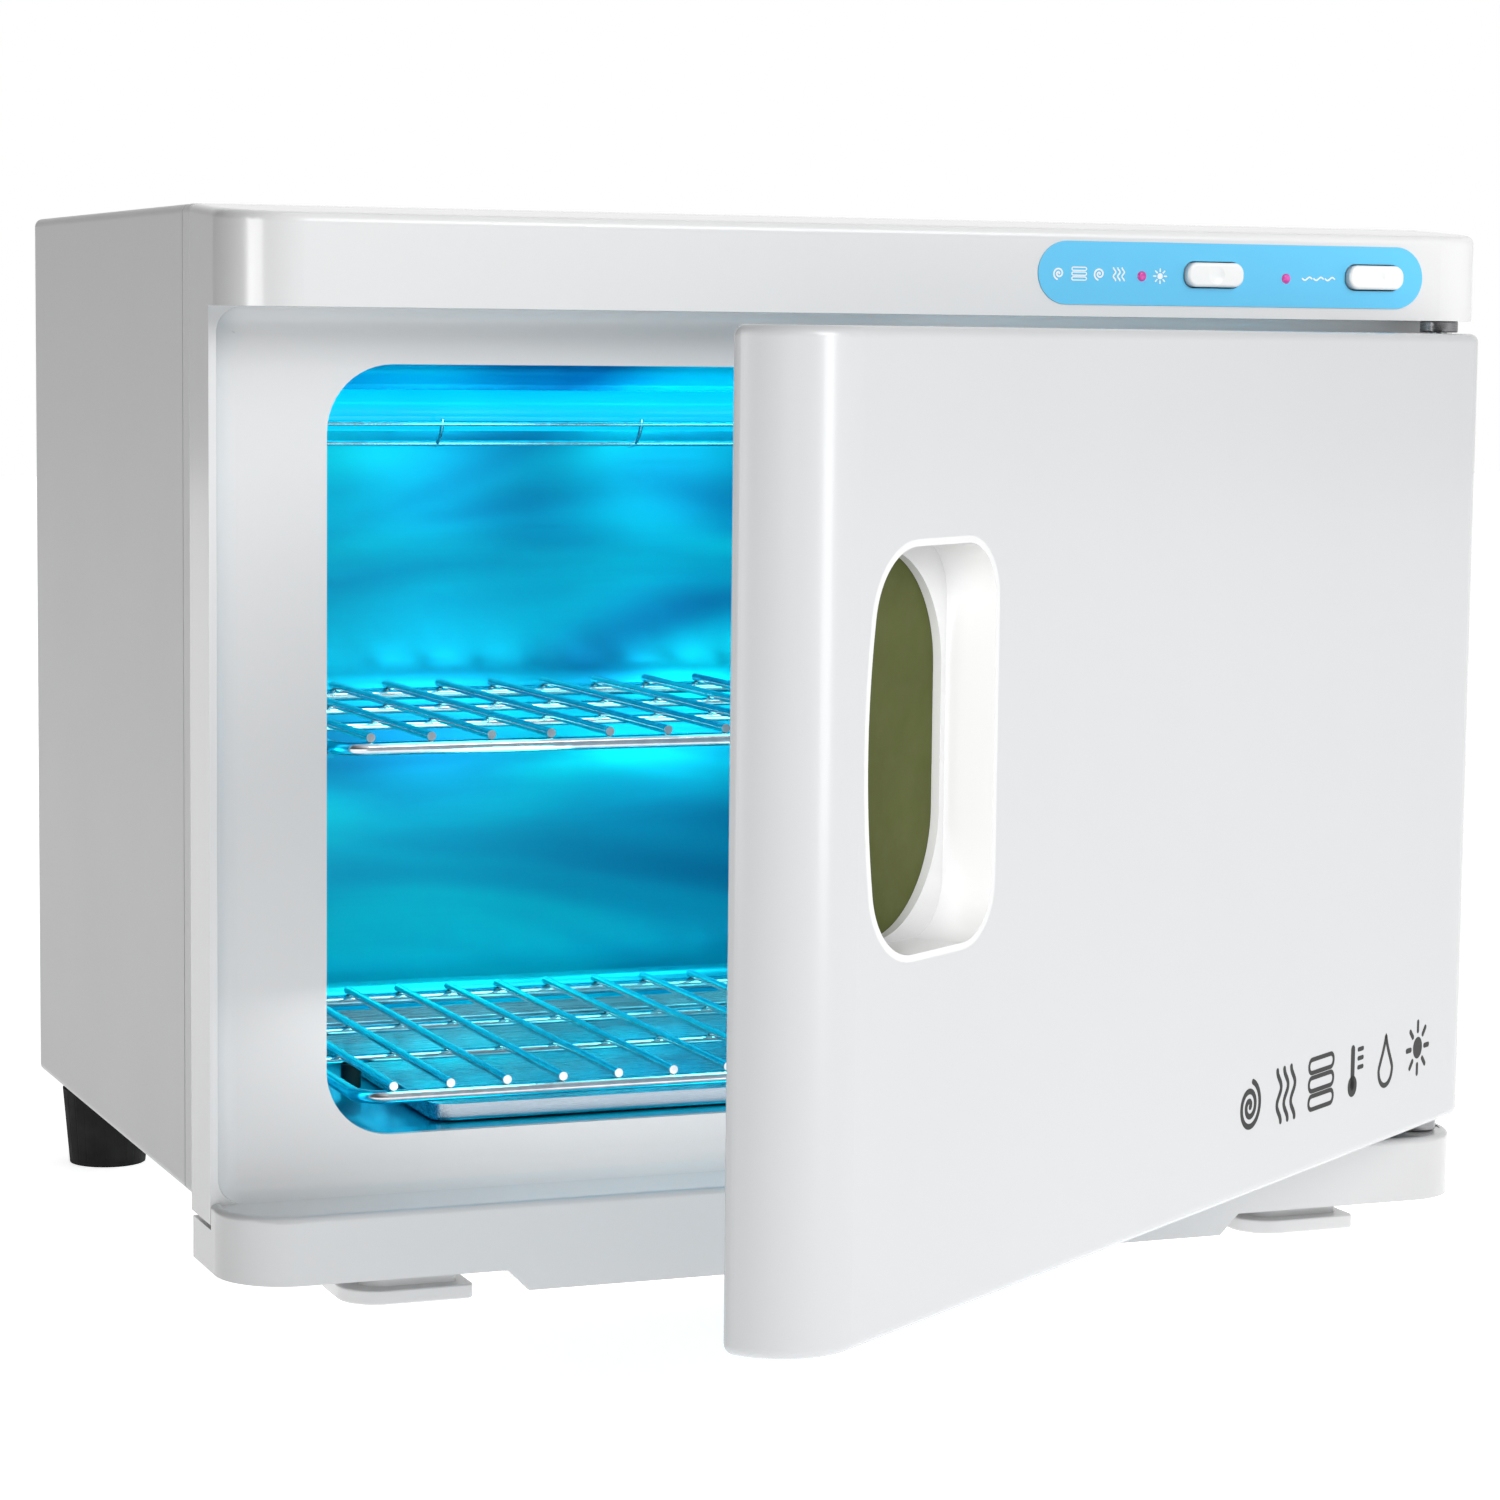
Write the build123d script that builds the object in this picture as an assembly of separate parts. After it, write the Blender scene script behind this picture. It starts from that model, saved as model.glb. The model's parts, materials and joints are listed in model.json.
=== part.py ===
from build123d import *
from math import cos, radians, sin
import os

# Countertop hot towel cabinet, 23 litre class, as separate parts in millimetres.
#
# Modelling frame: X = 0 at mid width, Y = 0 at the front plane of the fascia with +Y to the back,
# Z = 0 at the bottom edge of the sheet shell. place() moves every part from there to the origin of
# the whole cabinet: on the surface it stands on, in the middle of its box with the door ajar.

os.makedirs("parts", exist_ok=True)

# ---- driving dimensions -------------------------------------------------------------------
CASE_W = 450.0          # over the sides
CASE_D = 294.0          # fascia front plane to the outside of the rear panel
CASE_H = 322.0          # shell bottom edge to its top
FOOT_H = 28.0           # shell bottom edge above the table
SHEET = 1.0             # steel sheet
WALL = 2.5              # plastic mouldings
CORNER_R = 23.0         # upright front corners of fascia, sill and door

FRAME_D = 54.0          # depth of the plastic front
FASCIA_Z = 289.5        # underside of the fascia
FASCIA_FRONT_TOP = 318.4
STRIP_Y = 29.0          # front edge of the side strips
RECESS_Y = 38.0         # face that the door gasket presses on
COVE_R = 8.5
FRAME_BOTTOM = -4.0

SILL_TOP = 2.9
SILL_BOTTOM = -19.2
SILL_GAP = 1.5          # shadow gap between sill and side strip
SILL_DROP = 7.1         # the middle of the sill hangs lower
SILL_DROP_X = (-134.0, 132.0)
LEDGE_Z = 2.2           # shelf behind the sill's lip, below the recessed face
LEDGE_END = 190.0       # the shelf stops short of the lower hinge

MOUTH_W = 368.0         # chamber opening
MOUTH_Z = (20.0, 271.5)
MOUTH_R = 22.0
LINER_T = 0.8
LINER_BACK = 284.2      # inside of the chamber's back wall

DOOR_T = 28.0
DOOR_Z = (9.7, 285.2)
DOOR_BACK_R = 8.0       # lets the hinge edge turn inside the frame
DOOR_HINGE_R = 18.0
DOOR_FREE_R = 4.0       # back corner at the free edge
DOOR_RIM_R = 3.0        # around the top and bottom ends
DOOR_OPEN = 35.8        # degrees ajar in the rest pose
PIVOT = (211.0, 15.0)
PIN_R = 3.0
PIN_FIT = 0.05          # radial running clearance in the bushes
BUSH_R = 5.0

POCKET_X = (-190.2, -129.0)   # finger pocket, without its bowed side
POCKET_Z = (114.5, 226.0)
POCKET_BOW = 7.3
POCKET_R = (22.0, 16.0)       # corners on the bowed side and on the straight side
POCKET_DEPTH = 16.0
POCKET_STEP = 2.6

PANEL_X = (48.5, 194.6)       # blue control panel
PANEL_CZ = 303.9
PANEL_H = 21.0
SWITCH_XS = {"uv": 113.5, "heat": 175.3}
LED_XS = (86.8, 141.5)
CAP_W, CAP_H = 21.3, 8.2
CAP_PROUD = 3.2
CAP_TRAVEL = 2.0

RACK_WIRE = 2.25        # radius of the racks' frame wire
MESH_WIRE = 1.5
UPPER_RACK_Z = 146.0
LOWER_RACK_Z = 30.0
RACK_Y = (48.0, 244.0)
CROSS_IN = 70.0         # cross bars, from each end of a rack
RACK_WIRES = 17
UPPER_RACK_HALF = 179.0
LOWER_RACK_HALF = 171.0
REST_GAP = 0.3          # between a sliding piece and what carries it

FRONT_FOOT_XS = (-165.8, 158.0)
FOOT_PAD_TOP = -23.3
REAR_FOOT_X = 208.0
REAR_FOOT_Y = 255.0

INLET = (200.0, 60.0)   # X and Z of the appliance inlet
INLET_FLANGE = 3.0
LAMP_Y, LAMP_Z = 262.0, 252.0
LAMP_R = 7.75
LAMP_HALF = 143.0

HALF_W = CASE_W / 2
MOUTH_CZ = sum(MOUTH_Z) / 2
MOUTH_H = MOUTH_Z[1] - MOUTH_Z[0]
REAR_Y = CASE_D - SHEET       # inside face of the rear panel


# ---- helpers ------------------------------------------------------------------------------
def box(x, y, z):
    """A box between the two limits given for each axis."""
    size = Box(x[1] - x[0], y[1] - y[0], z[1] - z[0])
    return Pos(sum(x) / 2, sum(y) / 2, sum(z) / 2) * size


def rounded_plan(x, y, radii):
    """A rectangle seen from above; radii run front left, front right, back right, back left."""
    corners = [(x[0], y[0]), (x[1], y[0]), (x[1], y[1]), (x[0], y[1])]
    face = make_face(Polyline(*corners, close=True))
    for (cx, cy), radius in zip(corners, radii):
        if radius:
            face = fillet(face.vertices().sort_by_distance((cx, cy, 0))[0], radius)
    return face


def upright(face, z):
    """A plan face raised between two heights."""
    return Pos(0, 0, z[0]) * extrude(face, amount=z[1] - z[0], dir=(0, 0, 1))


def slab(cx, cz, width, height, radius, y):
    """A rounded rectangle facing the front, between two depths."""
    outline = Plane.XZ * RectangleRounded(width, height, radius)
    return Pos(cx, y[0], cz) * extrude(outline, amount=y[1] - y[0], dir=(0, 1, 0))


def rod_x(y, z, radius, x):
    return Pos(sum(x) / 2, y, z) * Rot(0, 90, 0) * Cylinder(radius, x[1] - x[0])


def rod_y(x, z, radius, y):
    return Pos(x, sum(y) / 2, z) * Rot(90, 0, 0) * Cylinder(radius, y[1] - y[0])


def rod_z(x, y, radius, z):
    return Pos(x, y, sum(z) / 2) * Cylinder(radius, z[1] - z[0])


def at_y(edges, y):
    return edges.filter_by(lambda e: abs(e.center().Y - y) < 0.01)


def ajar(shape):
    """Turns a door part from closed to the rest pose."""
    return Pos(*PIVOT, 0) * Rot(0, 0, DOOR_OPEN) * Pos(-PIVOT[0], -PIVOT[1], 0) * shape


def door_reach():
    """Y of the free edge's foremost point with the door ajar."""
    a = radians(DOOR_OPEN)
    dx = -HALF_W + CORNER_R - PIVOT[0]
    dy = CORNER_R - PIVOT[1]
    return PIVOT[1] + dx * sin(a) + dy * cos(a) - CORNER_R


ORIGIN_Y = (door_reach() + CASE_D + INLET_FLANGE) / 2


def place(shape):
    return Pos(0, -ORIGIN_Y, FOOT_H) * shape


def screws_y(points, head_r, head_t, shank_r, length, y, toward):
    """Pan head screws along Y: heads on the plane y, shanks running in the direction toward."""
    solids = []
    for x, z in points:
        head = rod_y(x, z, head_r, sorted((y, y - toward * head_t)))
        outer = at_y(head.edges(), y - toward * head_t)
        head = fillet(outer, head_t * 0.6)
        slot_y = sorted((y - toward * (head_t + 1), y - toward * head_t * 0.45))
        head -= box((x - head_r * 0.6, x + head_r * 0.6), slot_y, (z - 0.35, z + 0.35))
        head -= box((x - 0.35, x + 0.35), slot_y, (z - head_r * 0.6, z + head_r * 0.6))
        solids.append(head + rod_y(x, z, shank_r, sorted((y, y + toward * length))))
    return solids


def screws_z(points, head_r, head_t, shank_r, length, z):
    """Pan head screws driven upwards from below: heads under the height z."""
    solids = []
    for x, y in points:
        head = rod_z(x, y, head_r, (z - head_t, z))
        head -= box((x - head_r * 0.6, x + head_r * 0.6), (y - 0.35, y + 0.35), (z - head_t - 1, z - 1))
        solids.append(head + rod_z(x, y, shank_r, (z, z + length)))
    return solids


def drill(part, tools):
    for tool in tools:
        part -= tool
    return part


# ---- casing -------------------------------------------------------------------------------
def outer_shell():
    """Sheet wrapped over the top and both sides, with return flanges below and behind."""
    y = (FRAME_D, REAR_Y)
    mid = CASE_H / 2
    skin = slab(0, mid, CASE_W, CASE_H, 3.0, y)
    inside = slab(0, mid, CASE_W - 2 * SHEET, CASE_H - 2 * SHEET, 2.0, (y[0] - 1, y[1] - SHEET))
    skin -= inside
    flange = 14.0
    skin -= box((-HALF_W + flange, HALF_W - flange), (y[0] - 1, y[1] + 1), (-1, SHEET + 1))
    skin -= box((-HALF_W + flange, HALF_W - flange), (y[1] - 5, y[1] + 1), (-1, CASE_H - flange))
    groove = slab(0, mid, CASE_W + 2, CASE_H + 2, 3.0, (62.4, 63.5))
    groove -= slab(0, mid, CASE_W - 0.8, CASE_H - 0.8, 2.6, (62.0, 64.0))
    skin -= box((-HALF_W - 1, HALF_W + 1), (y[0] - 1, y[1] - SHEET), (-1, -0.001))
    return skin - groove


def base_panel():
    """Floor plate resting on the shell's lower flanges, with two rows of air slots."""
    plate = box((-HALF_W + 3.2, HALF_W - 3.2), (FRAME_D + 0.5, REAR_Y - 1.1), (SHEET, 2 * SHEET))
    for row in (110.0, 220.0):
        for i in range(9):
            x = -112.0 + 28.0 * i
            plate -= upright(Pos(x, row) * SlotOverall(24.0, 4.0, rotation=90), (0, 3))
    return plate


def rear_panel():
    """Flat back plate with air slots near the top and the inlet's cut-out."""
    plate = slab(0, CASE_H / 2, CASE_W, CASE_H, 3.0, (REAR_Y, CASE_D))
    for cx in (-110.0, 110.0):
        for i in range(6):
            plate -= slab(cx, 250.0 + 9.0 * i, 90.0, 3.6, 1.79, (REAR_Y - 1, CASE_D + 1))
    plate -= box((INLET[0] - 10.1, INLET[0] + 10.1), (REAR_Y - 1, CASE_D + 1),
                 (INLET[1] - 13.8, INLET[1] + 13.8))
    return plate


def rear_screws():
    side = [(s * (HALF_W - 7.0), z) for s in (-1, 1) for z in (12.0, 110.0, 208.0, 306.0)]
    top = [(x, CASE_H - 7.0) for x in (-110.0, 0.0, 110.0)]
    return screws_y(side + top, 3.6, 2.0, 1.75, 6.0, CASE_D, -1)


# ---- plastic front ------------------------------------------------------------------------
def top_slope():
    """What is cut off above the gently falling top of the fascia."""
    fall = (CASE_H - FASCIA_FRONT_TOP) / FRAME_D
    over = CASE_H + 9
    points = [(-1.0, FASCIA_FRONT_TOP - fall), (FRAME_D, CASE_H), (FRAME_D + 1, over), (-1.0, over)]
    face = make_face(Polyline(*[(0, py, pz) for py, pz in points], close=True))
    return Pos(-HALF_W - 1, 0, 0) * extrude(face, amount=CASE_W + 2, dir=(1, 0, 0))


def front_frame():
    """One moulding: fascia box, side strips and the recessed face around the chamber mouth."""
    plan = rounded_plan((-HALF_W, HALF_W), (0, FRAME_D), (CORNER_R, CORNER_R, 0, 0))
    block = upright(plan, (FRAME_BOTTOM, CASE_H)) - top_slope()
    rim = block.edges().filter_by(lambda e: e.center().Z > 317 and e.center().Y < FRAME_D - 4)
    block = fillet(rim, 3.0)
    inner = HALF_W - WALL
    block -= box((-HALF_W - 1, HALF_W + 1), (-1, STRIP_Y), (FRAME_BOTTOM - 1, FASCIA_Z))
    recess = box((-inner, inner), (STRIP_Y - 12, RECESS_Y), (LEDGE_Z, FASCIA_Z))
    coves = recess.edges().filter_by(lambda e: e.center().Y > STRIP_Y - 11)
    block -= fillet(coves, COVE_R)
    inside = rounded_plan((-inner, inner), (WALL, FRAME_D + 1), (CORNER_R - WALL, CORNER_R - WALL, 0, 0))
    block -= upright(inside, (FASCIA_Z + WALL, FASCIA_FRONT_TOP - WALL - 0.5))
    block -= box((-inner, inner), (RECESS_Y + WALL, FRAME_D + 1), (0, FASCIA_FRONT_TOP - WALL - 0.5))
    block -= slab(0, MOUTH_CZ, MOUTH_W, MOUTH_H, MOUTH_R, (RECESS_Y - 1, FRAME_D))
    block += rod_z(*PIVOT, 9.0, (FASCIA_Z, FASCIA_Z + 22.0)) & upright(plan, (FASCIA_Z, CASE_H - 8))
    block -= rod_z(*PIVOT, PIN_R, (FASCIA_Z - 1, FASCIA_Z + 20.5))
    panel_w = PANEL_X[1] - PANEL_X[0]
    panel_x = sum(PANEL_X) / 2
    block -= slab(panel_x, PANEL_CZ, panel_w, PANEL_H, PANEL_H / 2 - 0.01, (-1, 0.8))
    for x in SWITCH_XS.values():
        block -= slab(x, PANEL_CZ, CAP_W + 0.8, CAP_H + 0.8, 3.9, (-1, WALL + 1))
    for x in LED_XS:
        block -= rod_y(x, PANEL_CZ - 0.8, 1.7, (-1, WALL + 1))
    gap = WALL + 0.9
    ledge = rounded_plan((-HALF_W + gap, LEDGE_END), (gap, STRIP_Y + 1), (CORNER_R - gap, 0, 0, 0))
    return block + upright(ledge, (LEDGE_Z - 2.0, LEDGE_Z))


def front_sill():
    """Hollow lower moulding, open above, that carries the lower hinge and the front feet."""
    span = (-HALF_W, HALF_W)
    body = upright(rounded_plan(span, (0, FRAME_D - 2), (CORNER_R, CORNER_R, 0, 0)), (SILL_BOTTOM, SILL_TOP))
    top_rim = body.edges().filter_by(lambda e: e.center().Z > SILL_TOP - 0.1 and e.center().Y < FRAME_D - 3)
    body = fillet(top_rim, 2.0)
    body -= box((-HALF_W - 1, HALF_W + 1), (STRIP_Y - 0.5, FRAME_D), (FRAME_BOTTOM - SILL_GAP, SILL_TOP + 1))
    run = SILL_DROP
    left, right = SILL_DROP_X
    low = SILL_BOTTOM - SILL_DROP
    points = [(left, SILL_BOTTOM), (left + run, low), (right - run, low), (right, SILL_BOTTOM)]
    apron = make_face(Polyline(*[(px, 0, pz) for px, pz in points], close=True))
    body += extrude(apron, amount=22.0, dir=(0, 1, 0))
    t = WALL + 0.3
    hollow = rounded_plan((-HALF_W + t, HALF_W - t), (t, FRAME_D - 2 - t), (CORNER_R - t, CORNER_R - t, 0, 0))
    body -= upright(hollow, (SILL_BOTTOM + t, SILL_TOP + 1))
    body -= box((left + 2 * run, right - 2 * run), (t, 22.0 - t), (low + t, SILL_BOTTOM + t + 1))
    cavity = upright(hollow, (SILL_BOTTOM + t, SILL_TOP))
    body += rod_z(*PIVOT, 9.0, (SILL_BOTTOM + t, SILL_TOP + 0.4)) & cavity
    body -= rod_z(*PIVOT, PIN_R, (SILL_BOTTOM + t + 1.5, SILL_TOP + 1))
    for x in (-160.0, -55.0, 55.0, 160.0):
        body += box((x - 7, x + 7), (34.0, 46.0), (SILL_BOTTOM + t, FRAME_BOTTOM))
    return body


def sill_screws():
    """Driven up through the sill's posts into the frame's lower rail."""
    return screws_z([(x, 40.0) for x in (-55.0, 55.0)], 3.5, 1.8, 1.6, 18.0, SILL_BOTTOM)


def control_panel():
    panel_w = PANEL_X[1] - PANEL_X[0]
    plate = slab(sum(PANEL_X) / 2, PANEL_CZ, panel_w, PANEL_H, PANEL_H / 2 - 0.01, (-0.4, 0.8))
    for x in SWITCH_XS.values():
        plate -= slab(x, PANEL_CZ, CAP_W + 0.8, CAP_H + 0.8, 3.9, (-1, 1))
    for x in LED_XS:
        plate -= rod_y(x, PANEL_CZ - 0.8, 1.7, (-1, 1))
    return plate


def indicator_lenses():
    solids = []
    for x in LED_XS:
        lens = rod_y(x, PANEL_CZ - 0.8, 1.7, (-1.1, 6.0))
        solids.append(fillet(at_y(lens.edges(), -1.1), 0.9))
    return solids


def indicator_lamps():
    """Small neon lamps in their holders, behind the lenses."""
    solids = []
    for x in LED_XS:
        lamp = rod_y(x, PANEL_CZ - 0.8, 3.2, (6.0, 18.0))
        legs = [rod_y(x + dx, PANEL_CZ - 0.8, 0.4, (18.0, 24.0)) for dx in (-1.3, 1.3)]
        solids.append(lamp + legs)
    return solids


def switch_body(x):
    """Housing with a guide for the cap's stem and two blade terminals."""
    body = slab(x, PANEL_CZ, 26.0, 13.0, 1.5, (WALL, 24.0))
    body -= slab(x, PANEL_CZ, CAP_W + 0.8, CAP_H + 0.8, 3.9, (WALL - 1, 12.0))
    for dx in (-6.0, 6.0):
        body += box((x + dx - 2.4, x + dx + 2.4), (24.0, 31.0), (PANEL_CZ - 0.4, PANEL_CZ + 0.4))
    return body


def switch_cap(x):
    """Push cap with a shallow oval dish."""
    cap = slab(x, PANEL_CZ, CAP_W, CAP_H, 3.6, (-CAP_PROUD, 8.0))
    cap = fillet(at_y(cap.edges(), -CAP_PROUD), 1.1)
    dish = Pos(x, -CAP_PROUD - 11.6, PANEL_CZ) * Sphere(12.0)
    return cap - dish


# ---- chamber ------------------------------------------------------------------------------
def chamber_liner():
    """Deep-drawn steel tub with a flange that the door's magnetic seal grips."""
    outer = slab(0, MOUTH_CZ, MOUTH_W + 2 * LINER_T, MOUTH_H + 2 * LINER_T, MOUTH_R + LINER_T,
                 (RECESS_Y + WALL, LINER_BACK + LINER_T))
    outer = fillet(at_y(outer.edges(), LINER_BACK + LINER_T), 10.0 + LINER_T)
    outer += slab(0, MOUTH_CZ, MOUTH_W + 24, MOUTH_H + 24, MOUTH_R + 8,
                  (RECESS_Y + WALL, RECESS_Y + WALL + LINER_T))
    inner = slab(0, MOUTH_CZ, MOUTH_W, MOUTH_H, MOUTH_R, (RECESS_Y, LINER_BACK))
    inner = fillet(at_y(inner.edges(), LINER_BACK), 10.0)
    return outer - inner


def chamber_insulation():
    """Mineral wool slabs on the top, sides, back and floor of the tub."""
    half = MOUTH_W / 2 + LINER_T
    low = MOUTH_Z[0] - LINER_T
    high = MOUTH_Z[1] + LINER_T
    return [
        box((-HALF_W + 2, -half - 0.5), (58.0, 288.0), (24.0, 286.0)),
        box((half + 0.5, HALF_W - 2), (58.0, 240.0), (24.0, 286.0)),
        box((-half, half), (58.0, 284.0), (high + 0.5, 286.0)),
        box((-half + 12, half - 12), (LINER_BACK + LINER_T + 0.4, REAR_Y - 1.2), (low + 12, high - 12)),
        box((-160.0, 160.0), (62.0, 280.0), (2.4, 5.4)),
    ]


def heater_plate():
    low = MOUTH_Z[0] - LINER_T
    return box((-150.0, 150.0), (70.0, 262.0), (low - 3.0, low))


HEATER_Z = MOUTH_Z[0] - LINER_T - 3.0


def heater_element():
    """Sheathed heating rod bent to and fro under the plate."""
    rows = 6
    pitch = 30.0
    x0, y0 = 112.0, 91.0
    points = [(-x0 - 20, y0)]
    for i in range(rows):
        side = x0 if i % 2 == 0 else -x0
        points.append((side, y0 + pitch * i))
        if i < rows - 1:
            points.append((side, y0 + pitch * (i + 1)))
    points[-1] = (-x0 - 20, y0 + pitch * (rows - 1))
    path = FilletPolyline(*[(px, py, 0) for px, py in points], radius=13.0)
    section = Plane(origin=path @ 0, z_dir=path % 0) * Circle(3.0)
    return Pos(0, 0, HEATER_Z - 3.1) * sweep(section, path=path)


def disc_switch(x, y):
    """Bimetal disc switch, 16 mm across, clamped under the heater plate."""
    body = rod_z(x, y, 8.0, (HEATER_Z - 6.5, HEATER_Z))
    tabs = [box((x + dx - 1.6, x + dx + 1.6), (y - 0.4, y + 0.4), (HEATER_Z - 9.5, HEATER_Z - 6.5))
            for dx in (-4.0, 4.0)]
    return body + tabs


def shelf_rails():
    """Two angle rails that carry the upper rack."""
    top = UPPER_RACK_Z - RACK_WIRE - REST_GAP
    solids = []
    for side in (-1, 1):
        wall_x = side * MOUTH_W / 2
        leg = box(sorted((wall_x, wall_x - side)), (60.0, 270.0), (top - 12, top))
        shelf = box(sorted((wall_x, wall_x - side * 8.5)), (60.0, 270.0), (top - 1.2, top))
        solids.append(leg + shelf)
    return solids


def rail_rivets():
    """Dome rivets through the rails and the tub's side walls."""
    z = UPPER_RACK_Z - RACK_WIRE - REST_GAP - 7.0
    solids = []
    for side in (-1, 1):
        for y in (80.0, 165.0, 250.0):
            face = side * (MOUTH_W / 2 - 1.0)
            head = rod_x(y, z, 2.6, sorted((face, face - side * 1.2)))
            solids.append(head + rod_x(y, z, 1.5, sorted((face, face + side * 3.0))))
    return solids


def rack_frame(half_w, z):
    """Closed outer wire of a rack."""
    outline = RectangleRounded(2 * (half_w - RACK_WIRE), RACK_Y[1] - RACK_Y[0] - 2 * RACK_WIRE, 10.0)
    path = outline.wire()
    ring = sweep(Plane(origin=path @ 0, z_dir=path % 0) * Circle(RACK_WIRE), path=path)
    return Pos(0, sum(RACK_Y) / 2, z) * ring


def rack_wires(half_w, z):
    """The wires welded on top of the frame and the two cross bars between its sides."""
    first = -half_w + 13.0
    pitch = -2 * first / (RACK_WIRES - 1)
    top = z + RACK_WIRE + MESH_WIRE
    reach = (RACK_Y[0] + 1.0, RACK_Y[1] - 1.0)
    solids = [rod_y(first + pitch * i, top, MESH_WIRE, reach) for i in range(RACK_WIRES)]
    bar_z = top - 2 * MESH_WIRE
    for y in (RACK_Y[0] + CROSS_IN, RACK_Y[1] - CROSS_IN):
        solids.append(rod_x(y, bar_z, MESH_WIRE, (-half_w + 2 * RACK_WIRE, half_w - 2 * RACK_WIRE)))
    return solids


def lower_rack_feet():
    """Four plastic feet under the lower rack's cross bars, outside the drip tray."""
    solids = []
    for x in (-153.0, 153.0):
        for y in (RACK_Y[0] + CROSS_IN, RACK_Y[1] - CROSS_IN):
            foot = rod_z(x, y, 3.5, (MOUTH_Z[0] + REST_GAP, LOWER_RACK_Z + RACK_WIRE - 2 * MESH_WIRE))
            solids.append(fillet(foot.edges().group_by(Axis.Z)[0], 1.0))
    return solids


TRAY_X = (-144.0, 144.0)
TRAY_Y = (50.0, 242.0)


def drip_tray():
    """Shallow pressed tray under the lower rack."""
    z0 = MOUTH_Z[0] + REST_GAP
    width = TRAY_X[1] - TRAY_X[0]
    depth = TRAY_Y[1] - TRAY_Y[0]
    centre = Pos(0, sum(TRAY_Y) / 2)
    tray = upright(centre * RectangleRounded(width, depth, 8.0), (z0, z0 + 6.0))
    tray = fillet(tray.edges().group_by(Axis.Z)[0], 1.6)
    well = upright(centre * RectangleRounded(width - 1.6, depth - 1.6, 7.2), (z0 + 0.8, z0 + 7.0))
    return tray - fillet(well.edges().group_by(Axis.Z)[0], 1.0)


def uv_lamp_tube():
    return rod_x(LAMP_Y, LAMP_Z, LAMP_R, (-LAMP_HALF + 10, LAMP_HALF - 10))


def uv_lamp_caps():
    """Metal end caps, each with its two contact pins."""
    solids = []
    for side in (-1, 1):
        cap = rod_x(LAMP_Y, LAMP_Z, 8.0, sorted((side * (LAMP_HALF - 10), side * LAMP_HALF)))
        for dz in (-2.5, 2.5):
            cap += rod_x(LAMP_Y, LAMP_Z + dz, 1.2, sorted((side * LAMP_HALF, side * (LAMP_HALF + 7))))
        solids.append(cap)
    return solids


def lamp_holders():
    solids = []
    for side in (-1, 1):
        x = sorted((side * (LAMP_HALF + 0.2), side * (LAMP_HALF + 12)))
        holder = box(x, (LAMP_Y - 13, LINER_BACK), (LAMP_Z - 10, LAMP_Z + 9.4))
        holder = fillet(holder.edges().filter_by(Axis.X).group_by(Axis.Y)[0], 7.0)
        solids.append(drill(holder, uv_lamp_caps()))
    return solids


def lamp_guard():
    """Three wires and three hoops that keep towels off the lamp."""
    ring = 13.5
    pieces = []
    for angle in (200.0, 245.0, 290.0):
        y = LAMP_Y + ring * cos(radians(angle))
        z = LAMP_Z + ring * sin(radians(angle))
        pieces.append(rod_x(y, z, 1.0, (-LAMP_HALF, LAMP_HALF)))
    for x in (-80.0, 0.0, 80.0):
        turns = [radians(angle) for angle in (192.0, 245.0, 298.0)]
        points = [(x, LAMP_Y + ring * cos(a), LAMP_Z + ring * sin(a)) for a in turns]
        path = ThreePointArc(*points)
        pieces.append(sweep(Plane(origin=path @ 0, z_dir=path % 0) * Circle(0.8), path=path))
    guard = pieces[0]
    for piece in pieces[1:]:
        guard += piece
    return guard


# ---- electrical parts in the top and rear space -------------------------------------------
TOP_IN = CASE_H - SHEET
TERMINAL_Z = 297.0


def uv_ballast():
    """Lamp ballast hung from the top sheet on its two ears."""
    can = box((-60.0, 30.0), (120.0, 156.0), (TOP_IN - 24, TOP_IN))
    can = fillet(can.edges().filter_by(Axis.Z), 2.0)
    return can + box((-74.0, 44.0), (130.0, 146.0), (TOP_IN - 1.5, TOP_IN))


def terminal_block():
    """Four-way screw terminal strip on the rear panel."""
    block = box((80.0, 126.0), (REAR_Y - 17, REAR_Y), (TERMINAL_Z - 8, TERMINAL_Z + 8))
    for i in range(4):
        x = 85.8 + 11.5 * i
        block -= rod_z(x, REAR_Y - 8.5, 2.6, (TERMINAL_Z + 3, TERMINAL_Z + 9))
        block -= rod_y(x, TERMINAL_Z - 2, 2.0, (REAR_Y - 18, REAR_Y - 11))
    return block


def earth_stud():
    """M5 stud with two nuts, inside the rear panel."""
    x, z = 204.0, 105.0
    stud = rod_y(x, z, 2.5, (REAR_Y - 16, REAR_Y))
    nut = extrude(Plane.XZ * RegularPolygon(4.6, 6), amount=4.0, dir=(0, 1, 0))
    return stud + [Pos(x, REAR_Y - 4, z) * nut, Pos(x, REAR_Y - 11, z) * nut]


def power_inlet():
    """Appliance inlet: flange outside the rear panel and a socket well behind it."""
    x, z = INLET
    inlet = slab(x, z, 22.5, 48.0, 3.0, (CASE_D, CASE_D + INLET_FLANGE))
    inlet = fillet(at_y(inlet.edges(), CASE_D + INLET_FLANGE), 1.0)
    inlet += slab(x, z, 20.0, 27.4, 1.0, (CASE_D - 25, CASE_D))
    inlet -= slab(x, z, 16.4, 24.0, 3.0, (CASE_D - 18, CASE_D + INLET_FLANGE + 1))
    for dz in (-20.0, 20.0):
        inlet -= rod_y(x, z + dz, 3.3, (CASE_D + INLET_FLANGE - 1.2, CASE_D + INLET_FLANGE + 1))
    return inlet


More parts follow.
